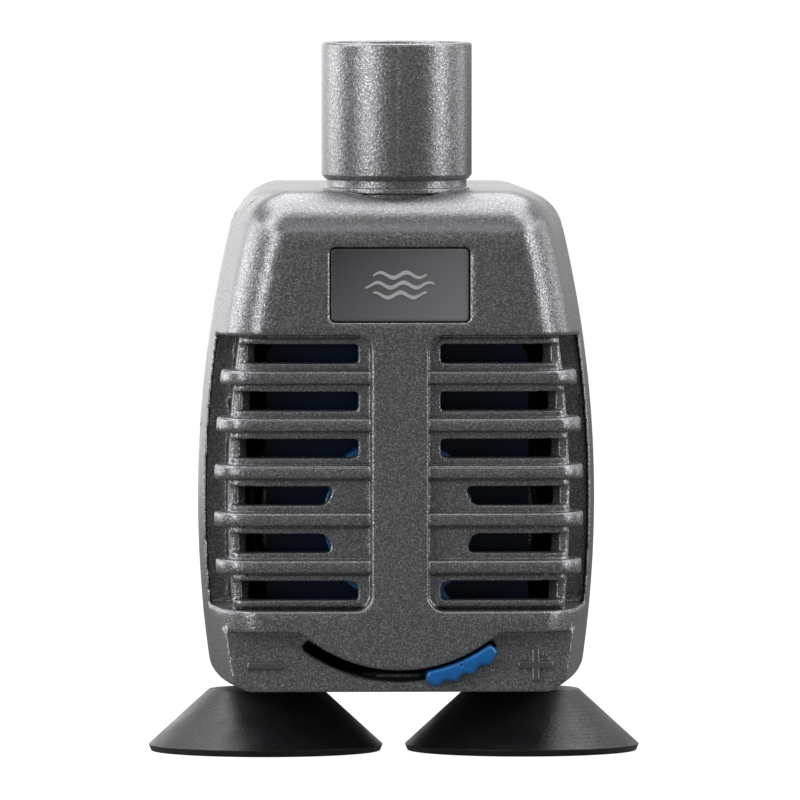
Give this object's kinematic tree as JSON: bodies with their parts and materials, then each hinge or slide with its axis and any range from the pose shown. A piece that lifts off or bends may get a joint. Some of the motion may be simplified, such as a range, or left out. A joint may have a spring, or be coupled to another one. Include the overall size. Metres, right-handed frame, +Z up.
{
  "type": "aquarium pump",
  "caption": "Submersible aquarium pump with front intake grille, flow regulator lever, vertical hose outlet and suction cup feet.",
  "frame": {"origin": "middle of the footprint, on the plane the suction cups stand on", "axes": "+Z up along the hose outlet, +X to the right seen from the front, +Y to the back"},
  "size_m": [0.0572, 0.055, 0.0828],
  "materials": {
    "grey_plastic": "fine grained moulded plastic, slightly metallic grey",
    "badge_plastic": "satin",
    "blue_plastic": "gloss",
    "black_rubber": "soft satin rubber",
    "white_plastic": "satin",
    "ferrite": "ground ferrite",
    "ceramic": "polished ceramic",
    "black_plastic": "satin",
    "core_steel": "stamped laminations",
    "copper_wire": "enamelled copper wire",
    "resin": "cast resin"
  },
  "bodies": {
    "pump_body": {"front_cover": "grey_plastic", "badge_plate": "badge_plastic", "inlet_cap": "blue_plastic", "pump_chamber": "grey_plastic", "chamber_o_ring": "black_rubber", "ceramic_shaft": "ceramic", "front_bearing_bush": "black_rubber", "rear_bearing_bush": "black_rubber", "front_thrust_washer": "ceramic", "rear_thrust_washer": "ceramic", "rotor_can": "black_plastic", "stator_core": "core_steel", "coil_bobbin_left": "white_plastic", "coil_bobbin_right": "white_plastic", "coil_winding_left": "copper_wire", "coil_winding_right": "copper_wire", "thermal_cutout": "black_plastic", "potting_resin": "resin", "rear_housing": "grey_plastic", "cable_gland": "black_rubber", "suction_cup_left": "black_rubber", "suction_cup_right": "black_rubber"},
    "regulator": {"flow_regulator": "blue_plastic"},
    "rotor": {"rotor_core": "white_plastic", "rotor_magnet": "ferrite"},
    "impeller": {"impeller": "white_plastic"}
  },
  "joints": [
    {"name": "regulator_turn", "type": "hinge", "parent": "pump_body", "child": "regulator", "pos_m": [0, -0.0205, 0.0278], "axis": [0, 1, 0], "range_deg": [0, 46]},
    {"name": "rotor_spin", "type": "hinge", "parent": "pump_body", "child": "rotor", "pos_m": [0, 0.008, 0.0278], "axis": [0, 1, 0], "continuous": true},
    {"name": "impeller_start_play", "type": "hinge", "parent": "rotor", "child": "impeller", "pos_m": [0, -0.0085, 0.0278], "axis": [0, 1, 0], "range_deg": [0, 200]}
  ]
}
